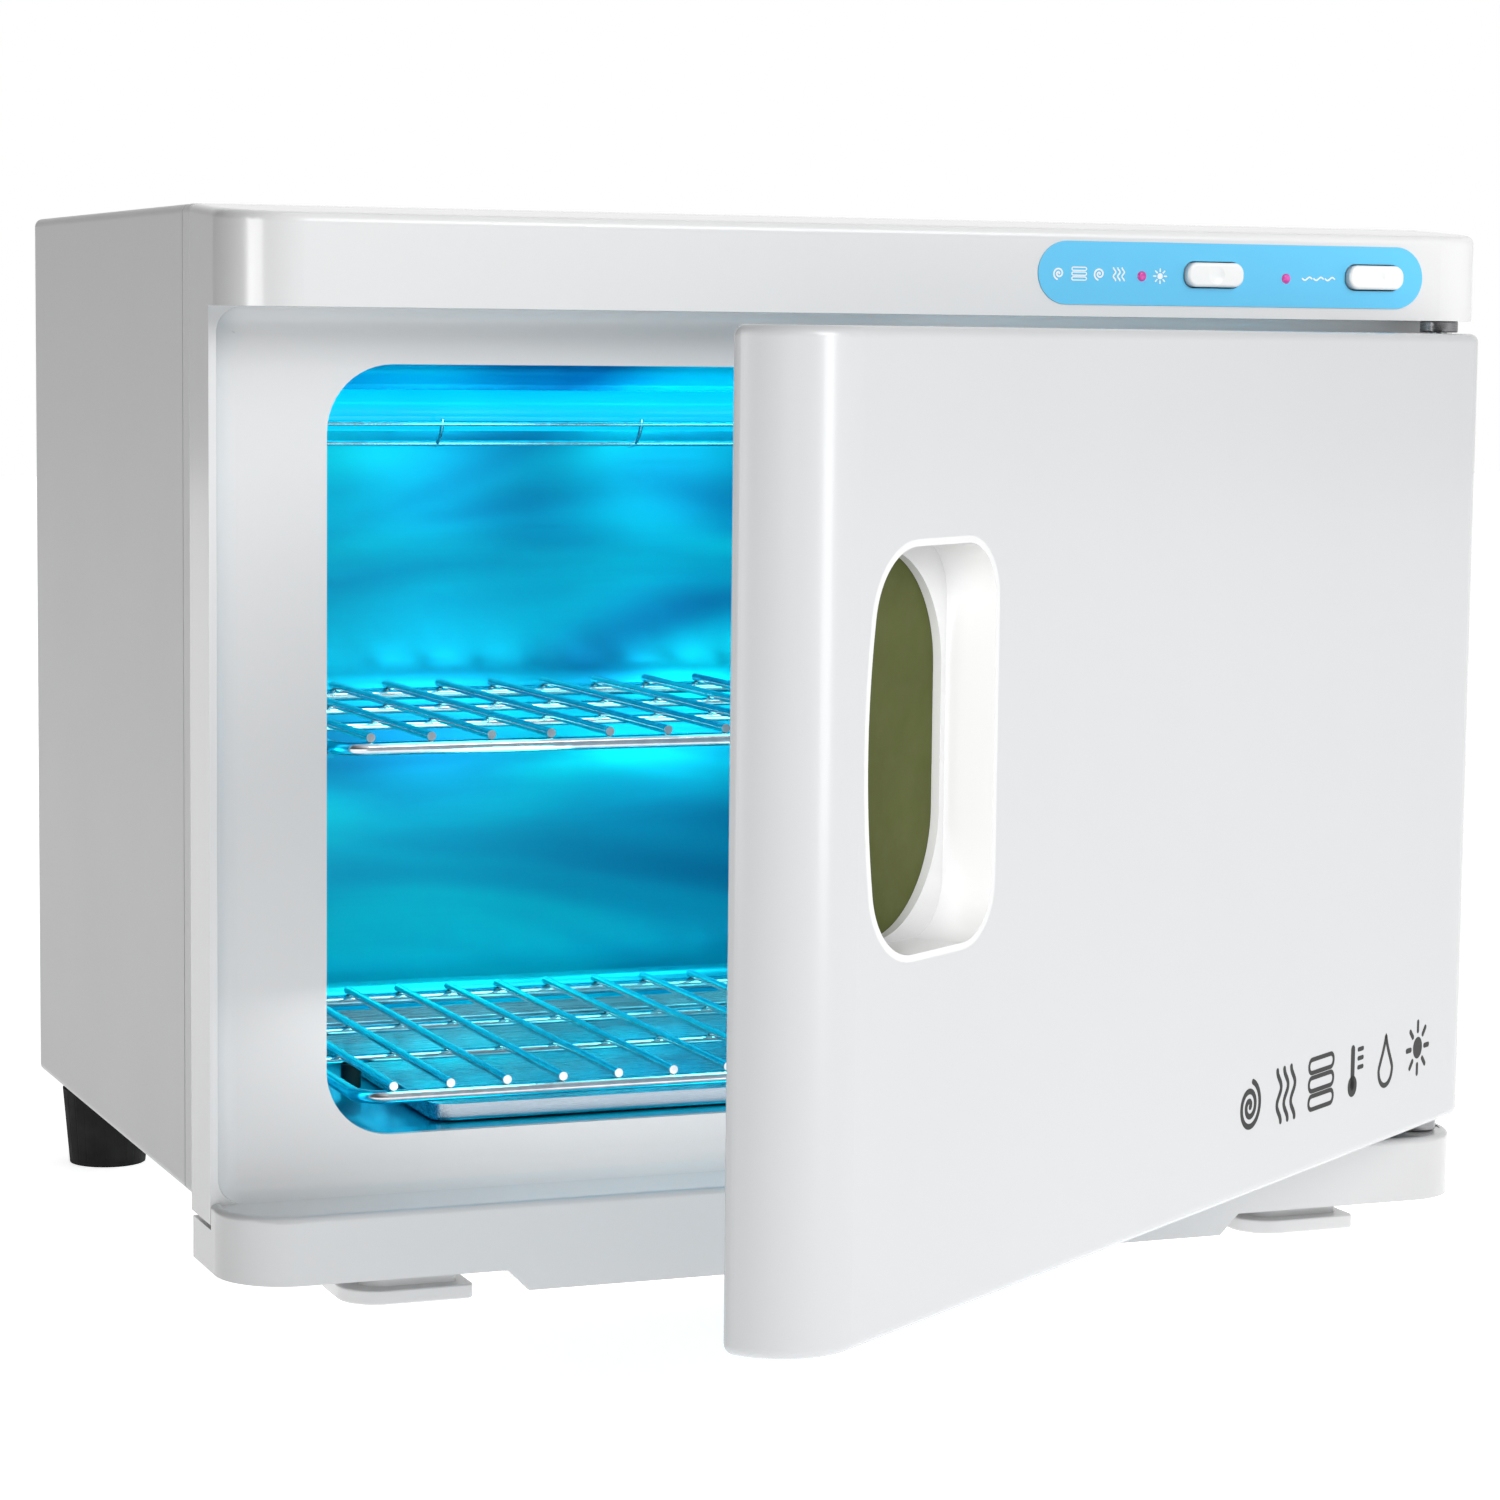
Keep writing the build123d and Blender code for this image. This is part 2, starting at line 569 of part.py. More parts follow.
def inlet_pins():
    """Three flat pins in the inlet's well, with their solder tabs behind."""
    x, z = INLET
    solids = []
    for dx, dz in ((-1.5, 7.0), (-1.5, -7.0), (3.0, 0.0)):
        pin = (x + dx - 2.0, x + dx + 2.0)
        solids.append(box(pin, (CASE_D - 31, CASE_D - 4.5), (z + dz - 1.0, z + dz + 1.0)))
    return solids


def inlet_screws():
    points = [(INLET[0], INLET[1] + dz) for dz in (-20.0, 20.0)]
    return screws_y(points, 2.9, 1.2, 1.5, 9.0, CASE_D + INLET_FLANGE - 1.2, -1)


def supply_leads():
    """Three insulated leads from the inlet up to the terminal strip."""
    x, z = INLET
    solids = []
    for i, (dx, dz) in enumerate(((-1.5, 7.0), (-1.5, -7.0), (3.0, 0.0))):
        start = CASE_D - 31.2
        back = start - 4.0 - 4.0 * i
        high = TERMINAL_Z - 2
        points = [(x + dx, start, z + dz), (x + dx, back - 6, z + dz), (x + dx, back - 6, high),
                  (85.8 + 11.5 * i, back - 6, high), (85.8 + 11.5 * i, REAR_Y - 11.4, high)]
        path = FilletPolyline(*points, radius=5.0)
        section = Plane(origin=path @ 0, z_dir=path % 0) * Circle(1.3)
        solids.append(sweep(section, path=path))
    return solids


# ---- feet ---------------------------------------------------------------------------------
def front_feet():
    """Flat pads on short necks under the sill, rounded at one front corner."""
    solids = []
    for cx in FRONT_FOOT_XS:
        x = (cx - 21.2, cx + 21.2)
        pad = upright(rounded_plan(x, (2.0, 44.0), (13.0, 3.0, 3.0, 13.0)), (-FOOT_H, FOOT_PAD_TOP))
        pad = fillet(pad.edges().group_by(Axis.Z)[0], 0.8)
        pad = fillet(pad.edges().group_by(Axis.Z)[-1], 0.6)
        inset = rounded_plan((x[0] + 7, x[1] - 4), (8.0, 40.0), (8, 2, 2, 8))
        neck = upright(inset, (FOOT_PAD_TOP, SILL_BOTTOM))
        solids.append(pad + neck)
    return solids


def rear_feet():
    """Tapered rubber feet with upright flutes."""
    solids = []
    flutes = 24
    for side in (-1, 1):
        foot = Cone(14.0, 16.5, FOOT_H, align=(Align.CENTER, Align.CENTER, Align.MIN))
        for i in range(flutes):
            turn = Rot(0, 0, 360.0 * i / flutes)
            groove = turn * Pos(16.1, 0, 14.0) * Rot(0, 5.1, 0) * Cylinder(0.95, 24.0)
            foot -= groove
        foot -= Cylinder(4.5, 8.0, align=(Align.CENTER, Align.CENTER, Align.MIN))
        solids.append(Pos(side * REAR_FOOT_X, REAR_FOOT_Y, -FOOT_H) * foot)
    return solids


def foot_screws():
    """One screw up the middle of each rear foot."""
    spots = [(side * REAR_FOOT_X, REAR_FOOT_Y) for side in (-1, 1)]
    return screws_z(spots, 4.0, 2.5, 2.0, 24.5, -FOOT_H + 8.0)


# ---- hinge --------------------------------------------------------------------------------
def upper_hinge_pin():
    return rod_z(*PIVOT, PIN_R, (DOOR_Z[1] - 17.0, FASCIA_Z + 20.5))


def lower_hinge_pin():
    return rod_z(*PIVOT, PIN_R, (SILL_BOTTOM + WALL + 1.8, DOOR_Z[0] + 15.0))


def hinge_spacers():
    """Plated collars that show in the gaps above and below the door."""
    solids = []
    for z in ((DOOR_Z[1] + 0.4, FASCIA_Z), (SILL_TOP + 0.4, DOOR_Z[0] - 0.4)):
        collar = rod_z(*PIVOT, 6.6, z)
        collar = fillet(collar.edges(), 0.5)
        solids.append(collar - rod_z(*PIVOT, PIN_R, (z[0] - 1, z[1] + 1)))
    return solids


# ---- door, modelled closed ----------------------------------------------------------------
DOOR_X = (-HALF_W, HALF_W)


def door_plan(inset):
    radii = [r - inset for r in (CORNER_R, DOOR_HINGE_R, DOOR_BACK_R, DOOR_FREE_R)]
    return rounded_plan((DOOR_X[0] + inset, DOOR_X[1] - inset), (inset, DOOR_T - inset), radii)


def pocket_face(x, z, radii):
    """A rounded opening, straight towards the hinge and bowed towards the free edge."""
    bow = ThreePointArc((x[0], z[1]), (x[0] - POCKET_BOW, sum(z) / 2), (x[0], z[0]))
    sides = Polyline((x[0], z[0]), (x[1], z[0]), (x[1], z[1]), (x[0], z[1]))
    face = make_face([*sides.edges(), bow])
    for radius, cx in zip(radii, x):
        for cz in z:
            face = fillet(face.vertices().sort_by_distance((cx, cz, 0))[0], radius)
    return Plane.XZ * face


def pocket_outline(grow=0.0):
    """Finger pocket seen from the front."""
    x = (POCKET_X[0] - grow, POCKET_X[1] + grow)
    z = (POCKET_Z[0] - grow, POCKET_Z[1] + grow)
    return pocket_face(x, z, [radius + grow for radius in POCKET_R])


def pocket_prism(grow, y):
    return Pos(0, y[0], 0) * extrude(pocket_outline(grow), amount=y[1] - y[0], dir=(0, 1, 0))


def pocket_floor(grow, y):
    """The opening for the pocket's coloured floor, rounder than the pocket."""
    step = POCKET_STEP - grow
    x = (POCKET_X[0] + step, POCKET_X[1] - step)
    z = (POCKET_Z[0] + 1.5 - grow, POCKET_Z[1] - 1.5 + grow)
    face = pocket_face(x, z, (22.0 + grow, 34.0 + grow))
    return Pos(0, y[0], 0) * extrude(face, amount=y[1] - y[0], dir=(0, 1, 0))


def door_shell():
    """Outer door moulding with hinge blocks, an open back and the pocket's opening."""
    solid = upright(door_plan(0), DOOR_Z)
    rims = solid.edges().filter_by(lambda e: min(abs(e.center().Z - z) for z in DOOR_Z) < 0.01)
    solid = fillet(rims, DOOR_RIM_R)
    hollow = upright(door_plan(WALL), (DOOR_Z[0] + WALL, DOOR_Z[1] - WALL))
    for z in ((DOOR_Z[0], DOOR_Z[0] + 24.0), (DOOR_Z[1] - 24.0, DOOR_Z[1])):
        hollow -= box((PIVOT[0] - 9, HALF_W), (0, DOOR_T), z)
    solid -= hollow
    mid = sum(DOOR_Z) / 2
    solid -= slab(-6.0, mid, 410.0, DOOR_Z[1] - DOOR_Z[0] - 16.0, 6.0, (DOOR_T - 4, DOOR_T + 1))
    solid -= pocket_prism(2.0, (-1, 6.0))
    for z in ((DOOR_Z[0] - 1, DOOR_Z[0] + 16.0), (DOOR_Z[1] - 18.0, DOOR_Z[1] + 1)):
        solid -= rod_z(*PIVOT, BUSH_R, z)
    return solid


def hinge_bushes():
    solids = []
    for z in ((DOOR_Z[0], DOOR_Z[0] + 16.0), (DOOR_Z[1] - 18.0, DOOR_Z[1])):
        solids.append(rod_z(*PIVOT, BUSH_R, z) - rod_z(*PIVOT, PIN_R + PIN_FIT, (z[0] - 1, z[1] + 1)))
    return solids


def handle_cup():
    """Moulded finger pocket: wall, ledge and the seat for the coloured floor."""
    cup = pocket_prism(2.0, (0.0, POCKET_DEPTH + POCKET_STEP + 1.8))
    cup -= pocket_prism(0.0, (-1, POCKET_DEPTH))
    cup -= pocket_floor(0.0, (POCKET_DEPTH - 1, POCKET_DEPTH + POCKET_STEP + 3))
    cup -= pocket_floor(1.5, (POCKET_DEPTH + POCKET_STEP, POCKET_DEPTH + POCKET_STEP + 3))
    return cup


def handle_insert():
    """Coloured floor of the finger pocket."""
    return pocket_floor(1.5, (POCKET_DEPTH + POCKET_STEP, POCKET_DEPTH + POCKET_STEP + 1.8))


def door_liner():
    """Inner door panel with a shallow raised pan inside the gasket."""
    mid = sum(DOOR_Z) / 2
    back = DOOR_T
    plate = slab(-3.5, mid, 431.0, DOOR_Z[1] - DOOR_Z[0] - 6.0, 6.0, (back, back + 1.5))
    pan = slab(0, MOUTH_CZ, 352.0, 235.0, 14.0, (back, back + 6.0))
    pan = fillet(at_y(pan.edges(), back + 6.0), 3.0)
    hollow = slab(0, MOUTH_CZ, 349.0, 232.0, 12.5, (back - 1, back + 4.5))
    hollow = fillet(at_y(hollow.edges(), back + 4.5), 1.5)
    return plate + pan - hollow


def door_insulation():
    """Foam block between the door's two skins."""
    return box((POCKET_X[1] + 6, HALF_W - 30), (WALL + 0.5, DOOR_T - 0.5), (22.0, 272.0))


def door_gasket():
    """Hollow seal around the pan."""
    y = (DOOR_T + 1.5, RECESS_Y - REST_GAP)
    ring = slab(0, MOUTH_CZ, 388.0, 268.5, 12.0, y)
    ring -= slab(0, MOUTH_CZ, 374.0, 254.5, 8.0, (y[0] - 1, y[1] + 1))
    channel = slab(0, MOUTH_CZ, 384.0, 264.5, 10.0, (y[0] + 1.2, y[1] - 1.2))
    channel -= slab(0, MOUTH_CZ, 378.0, 258.5, 9.0, (y[0], y[1]))
    return ring - channel


def gasket_magnet():
    """Flexible magnet strip in the seal's free side."""
    y = (RECESS_Y - REST_GAP - 3.6, RECESS_Y - REST_GAP - 1.3)
    return box((-191.8, -189.2), y, (60.0, 230.0))


def door_screws():
    sides = [(x, z) for x in (-206.0, 203.0) for z in (30.0, 105.0, 190.0, 265.0)]
    return screws_y(sides, 3.2, 1.6, 1.5, 5.0, DOOR_T + 1.5, -1)


# ---- assembly -----------------------------------------------------------------------------
def assembly():
    """Every part by its name, in the modelling frame, with the door closed."""
    fixed = {
        "outer_shell": outer_shell(),
        "base_panel": base_panel(),
        "rear_panel": rear_panel(),
        "rear_screws": rear_screws(),
        "front_frame": front_frame(),
        "front_sill": front_sill(),
        "sill_screws": sill_screws(),
        "control_panel": control_panel(),
        "indicator_lenses": indicator_lenses(),
        "indicator_lamps": indicator_lamps(),
        "uv_switch_body": switch_body(SWITCH_XS["uv"]),
        "heat_switch_body": switch_body(SWITCH_XS["heat"]),
        "uv_switch_cap": switch_cap(SWITCH_XS["uv"]),
        "heat_switch_cap": switch_cap(SWITCH_XS["heat"]),
        "chamber_liner": chamber_liner(),
        "chamber_insulation": chamber_insulation(),
        "heater_plate": heater_plate(),
        "heater_element": heater_element(),
        "thermostat": disc_switch(-136.0, 150.0),
        "thermal_cutout": disc_switch(-136.0, 190.0),
        "shelf_rails": shelf_rails(),
        "rail_rivets": rail_rivets(),
        "upper_rack_frame": rack_frame(UPPER_RACK_HALF, UPPER_RACK_Z),
        "upper_rack_wires": rack_wires(UPPER_RACK_HALF, UPPER_RACK_Z),
        "lower_rack_frame": rack_frame(LOWER_RACK_HALF, LOWER_RACK_Z),
        "lower_rack_wires": rack_wires(LOWER_RACK_HALF, LOWER_RACK_Z),
        "lower_rack_feet": lower_rack_feet(),
        "drip_tray": drip_tray(),
        "uv_lamp_tube": uv_lamp_tube(),
        "uv_lamp_caps": uv_lamp_caps(),
        "lamp_holders": lamp_holders(),
        "lamp_guard": lamp_guard(),
        "uv_ballast": uv_ballast(),
        "terminal_block": terminal_block(),
        "earth_stud": earth_stud(),
        "power_inlet": power_inlet(),
        "inlet_pins": inlet_pins(),
        "inlet_screws": inlet_screws(),
        "supply_leads": supply_leads(),
        "front_feet": front_feet(),
        "rear_feet": rear_feet(),
        "foot_screws": foot_screws(),
        "upper_hinge_pin": upper_hinge_pin(),
        "lower_hinge_pin": lower_hinge_pin(),
        "hinge_spacers": hinge_spacers(),
    }
    door = {
        "door_shell": door_shell(),
        "door_liner": door_liner(),
        "door_insulation": door_insulation(),
        "door_gasket": door_gasket(),
        "gasket_magnet": gasket_magnet(),
        "door_screws": door_screws(),
        "handle_cup": handle_cup(),
        "handle_insert": handle_insert(),
        "hinge_bushes": hinge_bushes(),
    }
    holes = {
        "rear_screws": ("rear_panel", "outer_shell"),
        "sill_screws": ("front_sill", "front_frame"),
        "rail_rivets": ("shelf_rails", "chamber_liner", "chamber_insulation"),
        "foot_screws": ("rear_feet", "base_panel", "outer_shell"),
        "inlet_screws": ("power_inlet", "rear_panel"),
        "inlet_pins": ("power_inlet",),
        "door_screws": ("door_liner", "door_shell"),
    }
    for tool, targets in holes.items():
        cutters = fixed.get(tool) or door.get(tool)
        for name in targets:
            group = fixed if name in fixed else door
            if isinstance(group[name], list):
                group[name] = [drill(solid, cutters) for solid in group[name]]
            else:
                group[name] = drill(group[name], cutters)
    return fixed, door


def write(name, shape):
    solids = shape if isinstance(shape, list) else [shape]
    placed = [place(solid) for solid in solids]
    whole = placed[0] if len(placed) == 1 else Compound(children=placed)
    export_step(whole, f"parts/{name}.step")


def main():
    fixed, door = assembly()
    for name, shape in fixed.items():
        write(name, shape)
    for name, shape in door.items():
        solids = shape if isinstance(shape, list) else [shape]
        write(name, [ajar(solid) for solid in solids])
    print("origin y", ORIGIN_Y, "door reach", door_reach())


main()
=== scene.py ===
import json
import math

import bmesh
import bpy
from mathutils import Matrix, Vector


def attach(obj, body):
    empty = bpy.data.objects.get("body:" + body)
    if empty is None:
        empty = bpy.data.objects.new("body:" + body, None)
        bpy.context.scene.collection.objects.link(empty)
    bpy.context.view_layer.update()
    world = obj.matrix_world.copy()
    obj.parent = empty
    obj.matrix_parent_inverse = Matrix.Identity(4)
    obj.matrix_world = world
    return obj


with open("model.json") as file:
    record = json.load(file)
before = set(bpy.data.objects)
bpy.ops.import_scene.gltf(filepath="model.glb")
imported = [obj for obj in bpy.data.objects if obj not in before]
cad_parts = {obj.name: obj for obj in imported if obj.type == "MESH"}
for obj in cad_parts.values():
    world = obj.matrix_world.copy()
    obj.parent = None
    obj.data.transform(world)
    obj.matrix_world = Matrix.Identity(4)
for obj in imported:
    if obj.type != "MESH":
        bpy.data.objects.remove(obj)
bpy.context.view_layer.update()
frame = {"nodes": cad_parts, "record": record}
nodes = frame["nodes"]

# The cabinet's own frame, in millimetres: x 0 at mid width, y 0 at the fascia, z 0 at the shell's
# bottom edge. DATUM is that origin in the row frame, in metres. HINGE is the door's pivot in x and y,
# and AJAR its angle at rest.
DATUM = Vector((0.0, -0.02695049539, 0.028))
HINGE = (211.0, 15.0)
AJAR = math.radians(35.8)


def spot(x, y, z):
    """A point of the cabinet's own frame, as a row-frame point in metres."""
    return DATUM + Vector((x, y, z)) / 1000.0


def on_door(x, y, z):
    """The same for a point of the closed door, turned with it to the rest angle."""
    dx, dy = x - HINGE[0], y - HINGE[1]
    return spot(HINGE[0] + dx * math.cos(AJAR) - dy * math.sin(AJAR),
                HINGE[1] + dx * math.sin(AJAR) + dy * math.cos(AJAR), z)


# ---- materials ----------------------------------------------------------------------------
NOISE_LOW, NOISE_HIGH = 0.3, 0.7    # nearly all of a noise factor lies between these


class Finish:
    """A Principled material with helpers for procedural colour, roughness and relief."""

    def __init__(self, name, **constants):
        self.material = bpy.data.materials.new(name)
        self.material.use_nodes = True
        self.tree = self.material.node_tree
        self.shader = self.tree.nodes["Principled BSDF"]
        self.place = self.add("ShaderNodeTexCoord").outputs["Object"]
        for socket, value in constants.items():
            self.shader.inputs[socket.replace("_", " ")].default_value = value

    def add(self, kind, **settings):
        node = self.tree.nodes.new(kind)
        for key, value in settings.items():
            setattr(node, key, value)
        return node

    def link(self, source, target):
        self.tree.links.new(source, target)

    def stretched(self, stretch):
        """Object coordinates scaled along each axis, so that a pattern runs one way."""
        mapping = self.add("ShaderNodeMapping")
        mapping.inputs["Scale"].default_value = stretch
        self.link(self.place, mapping.inputs["Vector"])
        return mapping.outputs["Vector"]

    def noise(self, scale, detail=4.0, roughness=0.55, stretch=None, distortion=0.0):
        node = self.add("ShaderNodeTexNoise")
        node.inputs["Scale"].default_value = scale
        node.inputs["Detail"].default_value = detail
        node.inputs["Roughness"].default_value = roughness
        node.inputs["Distortion"].default_value = distortion
        self.link(self.stretched(stretch) if stretch else self.place, node.inputs["Vector"])
        return node.outputs["Fac"]

    def ramp(self, factor, *stops):
        """Colours (or greys) at given places of a factor."""
        node = self.add("ShaderNodeValToRGB")
        elements = node.color_ramp.elements
        while len(elements) < len(stops):
            elements.new(0.5)
        for element, (position, colour) in zip(elements, stops):
            grey = isinstance(colour, (int, float))
            element.position = position
            element.color = (colour, colour, colour, 1.0) if grey else (*colour, 1.0)
        self.link(factor, node.inputs["Fac"])
        return node.outputs["Color"]

    def between(self, factor, low, high):
        """A colour (or grey) that runs from low to high over the usual range of a noise."""
        return self.ramp(factor, (NOISE_LOW, low), (NOISE_HIGH, high))

    def mix(self, factor, first, second, mode="MIX"):
        """Mixes two colours; the sockets are the RGBA mix's own factor, A and B."""
        node = self.add("ShaderNodeMix", data_type="RGBA", blend_type=mode)
        for socket, value in ((node.inputs[0], factor), (node.inputs[6], first), (node.inputs[7], second)):
            if isinstance(value, bpy.types.NodeSocket):
                self.link(value, socket)
            else:
                socket.default_value = value if isinstance(value, (int, float)) else (*value, 1.0)
        return node.outputs[2]

    def colour(self, source):
        self.link(source, self.shader.inputs["Base Color"])

    def gloss(self, factor, low, high):
        """Roughness from low to high over the usual range of a noise."""
        node = self.add("ShaderNodeMapRange")
        node.inputs["From Min"].default_value = NOISE_LOW
        node.inputs["From Max"].default_value = NOISE_HIGH
        node.inputs["To Min"].default_value = low
        node.inputs["To Max"].default_value = high
        self.link(factor, node.inputs["Value"])
        self.link(node.outputs["Result"], self.shader.inputs["Roughness"])

    def relief(self, height, strength, depth):
        """Bump of a given depth in metres, on top of any relief already there."""
        bump = self.add("ShaderNodeBump")
        bump.inputs["Strength"].default_value = strength
        bump.inputs["Distance"].default_value = depth
        self.link(height, bump.inputs["Height"])
        normal = self.shader.inputs["Normal"]
        if normal.is_linked:
            self.link(normal.links[0].from_socket, bump.inputs["Normal"])
        self.link(bump.outputs["Normal"], normal)


def tinted(colour, k):
    return tuple(min(1.0, c * k) for c in colour)


def moulded(name, colour, rough, grain=0.000006, cell=1600.0, spread=0.03, **constants):
    """Injection moulding: faint flow shading, spark-eroded grain and slightly uneven gloss."""
    f = Finish(name, Roughness=rough, **constants)
    flow = f.noise(9.0, 3.0, stretch=(1.0, 1.0, 0.45))
    f.colour(f.between(flow, tinted(colour, 1 - spread / 2), tinted(colour, 1 + spread / 2)))
    f.gloss(f.noise(18.0, 1.0), rough - 0.012, rough + 0.012)
    f.relief(f.noise(cell, 2.0), 0.35, grain)
    return f


def brushed(name, colour, rough, along=(1.0, 60.0, 60.0), streak=0.16, scale=30.0):
    """Bare metal with a rolling or brushing direction."""
    f = Finish(name, Metallic=1.0, Roughness=rough)
    lines = f.noise(scale, 7.0, 0.65, stretch=along)
    cloud = f.noise(7.0, 4.0)
    streaks = f.ramp(lines, (0.32, tinted(colour, 1 - streak)), (0.68, tinted(colour, 1 + streak * 0.6)))
    f.colour(f.mix(0.35, streaks, f.between(cloud, tinted(colour, 0.86), colour), "MULTIPLY"))
    f.gloss(lines, rough - 0.07, rough + 0.10)
    f.relief(lines, 0.25, 0.00004)
    return f


def powder_coat():
    """Satin powder coat: orange peel and a trace of mottle."""
    f = Finish("shell_paint", Roughness=0.42)
    base = (0.61, 0.61, 0.612)
    mottle = f.noise(5.0, 1.0)
    speck = f.noise(1500.0, 2.0)
    shade = f.between(mottle, tinted(base, 0.995), tinted(base, 1.005))
    f.colour(f.mix(0.15, shade, f.ramp(speck, (0.42, tinted(base, 0.95)), (0.6, tinted(base, 1.04)))))
    f.gloss(f.noise(20.0, 1.0), 0.44, 0.47)
    f.relief(f.noise(900.0, 2.0), 0.2, 0.000012)
    return f


def galvanised():
    """Zinc sheet with its crystal spangle."""
    f = Finish("zinc_sheet", Metallic=1.0, Roughness=0.4)
    cells = f.add("ShaderNodeTexVoronoi", feature="F1")
    cells.inputs["Scale"].default_value = 130.0
    f.link(f.place, cells.inputs["Vector"])
    crystal = f.add("ShaderNodeSeparateColor")
    f.link(cells.outputs["Color"], crystal.inputs["Color"])
    f.colour(f.ramp(crystal.outputs["Red"], (0.0, (0.44, 0.46, 0.48)), (1.0, (0.70, 0.72, 0.74))))
    f.gloss(crystal.outputs["Green"], 0.30, 0.52)
    f.relief(f.noise(700.0, 3.0), 0.2, 0.00003)
    return f


def painted_glow_liner():
    """Polished stainless liner with the blue lamp's light painted into its colour: long soft swirls of
    painted glow and painted reflection, a faint brushing.
    """
    f = Finish("liner_steel", Metallic=0.6, Roughness=0.24)
    lines = f.noise(24.0, 6.0, 0.6, stretch=(1.0, 40.0, 40.0))
    swirl = f.noise(7.0, 1.5, 0.35, stretch=(0.6, 1.0, 1.9), distortion=1.8)
    # Painted light: cyan where the lamp's glow and its reflections would fall, dark blue between them; the
    # steel itself would be grey.
    painted_glow_pools = f.ramp(swirl, (0.30, (0.0, 0.20, 0.44)), (0.44, (0.0, 0.43, 0.66)), (0.54, (0.0, 0.60, 0.80)),
                   (0.66, (0.0, 0.80, 0.92)))
    f.colour(f.mix(0.12, painted_glow_pools, f.between(lines, 0.72, 1.0), "MULTIPLY"))
    f.gloss(lines, 0.20, 0.27)
    f.relief(lines, 0.05, 0.00002)
    f.relief(swirl, 0.25, 0.002)
    return f


def plated_wire():
    """Chrome on drawn wire, cloudy here and there."""
    f = Finish("rack_chrome", Metallic=1.0, Roughness=0.14)
    f.colour(f.between(f.noise(220.0, 4.0), (0.66, 0.70, 0.74), (0.86, 0.88, 0.90)))
    f.gloss(f.noise(340.0, 4.0), 0.08, 0.24)
    f.relief(f.noise(900.0, 3.0), 0.2, 0.00003)
    return f


def wool():
    """Mineral wool: matted fibres that lie along the board."""
    f = Finish("mineral_wool", Roughness=0.95)
    fibre = f.noise(420.0, 8.0, 0.75, stretch=(1.0, 1.0, 5.0), distortion=1.5)
    f.colour(f.between(fibre, (0.44, 0.37, 0.20), (0.82, 0.76, 0.58)))
    f.relief(fibre, 0.9, 0.0012)
    return f


def glowing_tube():
    """The lit lamp, slightly uneven along its length."""
    f = Finish("lamp_glass", Roughness=0.15, Emission_Strength=0.82)
    bands = f.noise(9.0, 2.0, stretch=(1.0, 0.0, 0.0))
    f.colour(f.between(bands, (0.02, 0.20, 0.40), (0.03, 0.28, 0.45)))
    f.link(f.between(bands, (0.0, 0.52, 0.82), (0.0, 0.72, 0.92)), f.shader.inputs["Emission Color"])
    f.gloss(f.noise(80.0), 0.10, 0.22)
    return f


def lens():
    """Tinted indicator lens with a weak glow."""
    f = Finish("lens_red", Roughness=0.2, Emission_Strength=0.25, Subsurface_Weight=0.3)
    swirl = f.noise(700.0, 3.0)
    f.colour(f.between(swirl, (0.42, 0.02, 0.20), (0.58, 0.07, 0.33)))
    f.link(f.between(swirl, (0.8, 0.05, 0.35), (0.95, 0.2, 0.6)), f.shader.inputs["Emission Color"])
    f.gloss(f.noise(300.0), 0.16, 0.28)
    return f


def rubber(name, low, high, rough=0.7, specular=0.5):
    """Soft or matt material whose colour wanders between two shades."""
    f = Finish(name, Roughness=rough, Specular_IOR_Level=specular)
    f.colour(f.between(f.noise(45.0, 6.0), low, high))
    f.gloss(f.noise(120.0, 4.0), rough - 0.10, rough + 0.12)
    f.relief(f.noise(1300.0, 3.0), 0.4, 0.00006)
    return f


